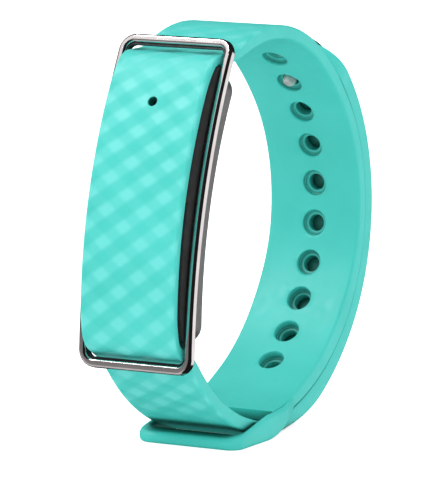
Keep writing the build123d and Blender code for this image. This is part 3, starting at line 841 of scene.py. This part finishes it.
def window(tree, value, rise_from, rise_to, fall_from, fall_to):
    """1 between two soft edges of a value, 0 outside."""
    edges = []
    for first, last in ((rise_from, rise_to), (fall_from, fall_to)):
        made = tree.nodes.new("ShaderNodeMapRange")
        made.interpolation_type = "SMOOTHSTEP"
        tree.links.new(value, made.inputs["Value"])
        made.inputs["From Min"].default_value, made.inputs["From Max"].default_value = first, last
        edges.append(made.outputs["Result"])
    return maths(tree, "SUBTRACT", edges[0], edges[1])


def studio_world():
    """Even white light, and for reflections a dark studio.

    The reflected studio has a tall softbox and a lit floor on the front left, and a low bright patch
    on the back right.
    """
    world = bpy.data.worlds.new("studio")
    bpy.context.scene.world = world
    world.use_nodes = True
    tree = world.node_tree
    tree.nodes.clear()
    coords = tree.nodes.new("ShaderNodeTexCoord")
    split = tree.nodes.new("ShaderNodeSeparateXYZ")
    tree.links.new(coords.outputs["Generated"], split.inputs["Vector"])
    height = split.outputs["Z"]
    turn = maths(tree, "ARCTAN2", split.outputs["X"], maths(tree, "MULTIPLY", split.outputs["Y"], -1))
    front_left = window(tree, turn, *[radians(angle) for angle in FRONT_LEFT])
    back_right = window(tree, turn, *[radians(angle) for angle in BACK_RIGHT])
    tall = maths(tree, "MULTIPLY_ADD", window(tree, height, *BOX_HEIGHTS), HIGH_BOX, LOW_BOX)
    tall = maths(tree, "MULTIPLY_ADD", window(tree, height, *FLOOR_HEIGHTS), FLOOR_BOX, tall)
    level = maths(tree, "MULTIPLY_ADD", front_left, tall, DARK_STUDIO)
    low = maths(tree, "MULTIPLY", back_right, window(tree, height, *BACK_HEIGHTS))
    level = maths(tree, "MULTIPLY_ADD", low, BACK_BOX, level)
    path = tree.nodes.new("ShaderNodeLightPath")
    strength = tree.nodes.new("ShaderNodeMix")
    tree.links.new(path.outputs["Is Glossy Ray"], strength.inputs[0])
    strength.inputs[2].default_value = SOFT_LIGHT
    tree.links.new(level, strength.inputs[3])
    sky = tree.nodes.new("ShaderNodeBackground")
    tree.links.new(strength.outputs[0], sky.inputs["Strength"])
    output = tree.nodes.new("ShaderNodeOutputWorld")
    tree.links.new(sky.outputs[0], output.inputs["Surface"])


studio_world()


def direction(azimuth, elevation):
    """Unit vector towards a place round the object: azimuth 0 is in front, 90 on the +X side."""
    a, e = radians(azimuth), radians(elevation)
    return Vector((sin(a) * cos(e), -cos(a) * cos(e), sin(e)))


def softbox(name, azimuth, elevation, distance, size, power, target):
    light = bpy.data.lights.new(name, "AREA")
    light.shape = "RECTANGLE"
    light.size, light.size_y = size
    light.energy = power
    made = bpy.data.objects.new(name, light)
    bpy.context.scene.collection.objects.link(made)
    towards = direction(azimuth, elevation)
    made.location = target + towards * distance
    made.rotation_mode = "QUATERNION"
    made.rotation_quaternion = towards.to_track_quat("Z", "Y")
    made.visible_glossy = False
    return made


middle = (cad_low + cad_high) / 2
softbox("key", -42, 45, 1.0, (0.5, 0.9), 1.9, middle)
softbox("top", 60, 80, 1.0, (0.6, 0.6), 0.8, middle)
# seen in reflections only
gloss = softbox("gloss", -42, 56, 1.0, (0.4, 0.3), 4.0, middle)
gloss.visible_glossy, gloss.visible_diffuse = True, False

# ---------------------------------------------------------------- camera

CAMERA_TARGET = (6.93, -0.88, -27.42)
CAMERA_AZIMUTH, CAMERA_ELEVATION = 29, 8.57
CAMERA_DISTANCE = 0.657     # metres
CAMERA_LENS = 361.9

camera = bpy.data.objects.new("camera", bpy.data.cameras.new("camera"))
bpy.context.scene.collection.objects.link(camera)
back = direction(CAMERA_AZIMUTH, CAMERA_ELEVATION)
camera.location = place(*CAMERA_TARGET) + back * CAMERA_DISTANCE
camera.rotation_mode = "QUATERNION"
camera.rotation_quaternion = back.to_track_quat("Z", "Y")
camera.data.lens, camera.data.sensor_width = CAMERA_LENS, 36
camera.data.clip_start, camera.data.clip_end = 0.01, 50
bpy.context.scene.camera = camera
# the default transform washes out the mint
bpy.context.scene.view_settings.view_transform = "Standard"
